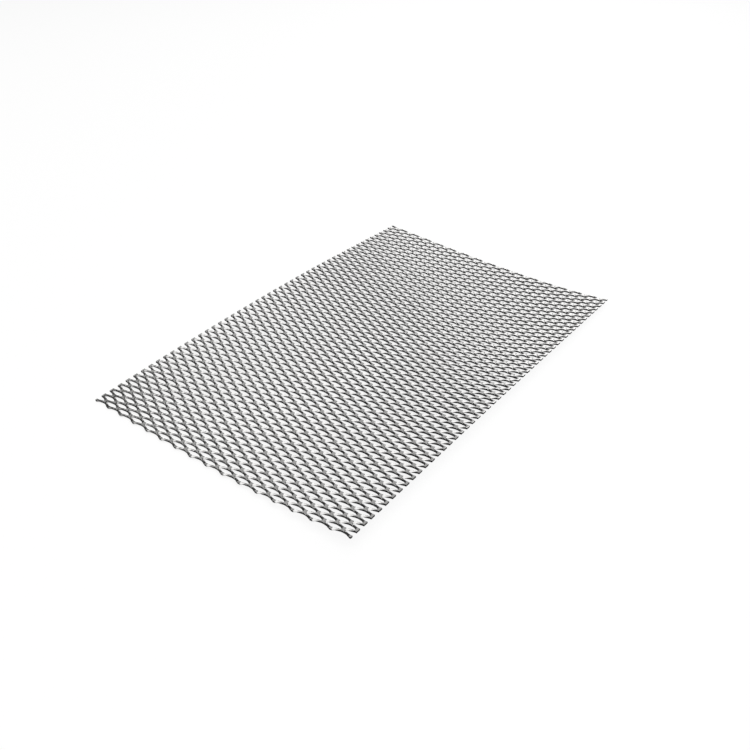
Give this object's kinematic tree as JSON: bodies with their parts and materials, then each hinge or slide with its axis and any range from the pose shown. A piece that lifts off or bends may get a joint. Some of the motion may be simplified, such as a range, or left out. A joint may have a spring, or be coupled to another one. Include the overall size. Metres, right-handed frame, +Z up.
{
  "type": "expanded metal sheet",
  "caption": "Rectangular sheet of expanded metal: twisted strands joined at bonds around diamond openings, with sheared long edges, scalloped short edges and a slight bow.",
  "frame": {"origin": "centre of the underside's bounding rectangle, on the surface that the sheet lies on", "axes": "+X across the sheet, along the diamonds' long way; +Y along the sheet, along the diamonds' short way; +Z up, away from the surface"},
  "size_m": [0.2006, 0.3, 0.0078],
  "materials": {
    "bare_metal": "dull mill finish, bright on the sheared edges"
  },
  "bodies": {
    "root": {"mesh_panel_1": "bare_metal", "mesh_panel_2": "bare_metal", "mesh_panel_3": "bare_metal", "mesh_panel_4": "bare_metal", "mesh_panel_5": "bare_metal"}
  },
  "joints": []
}
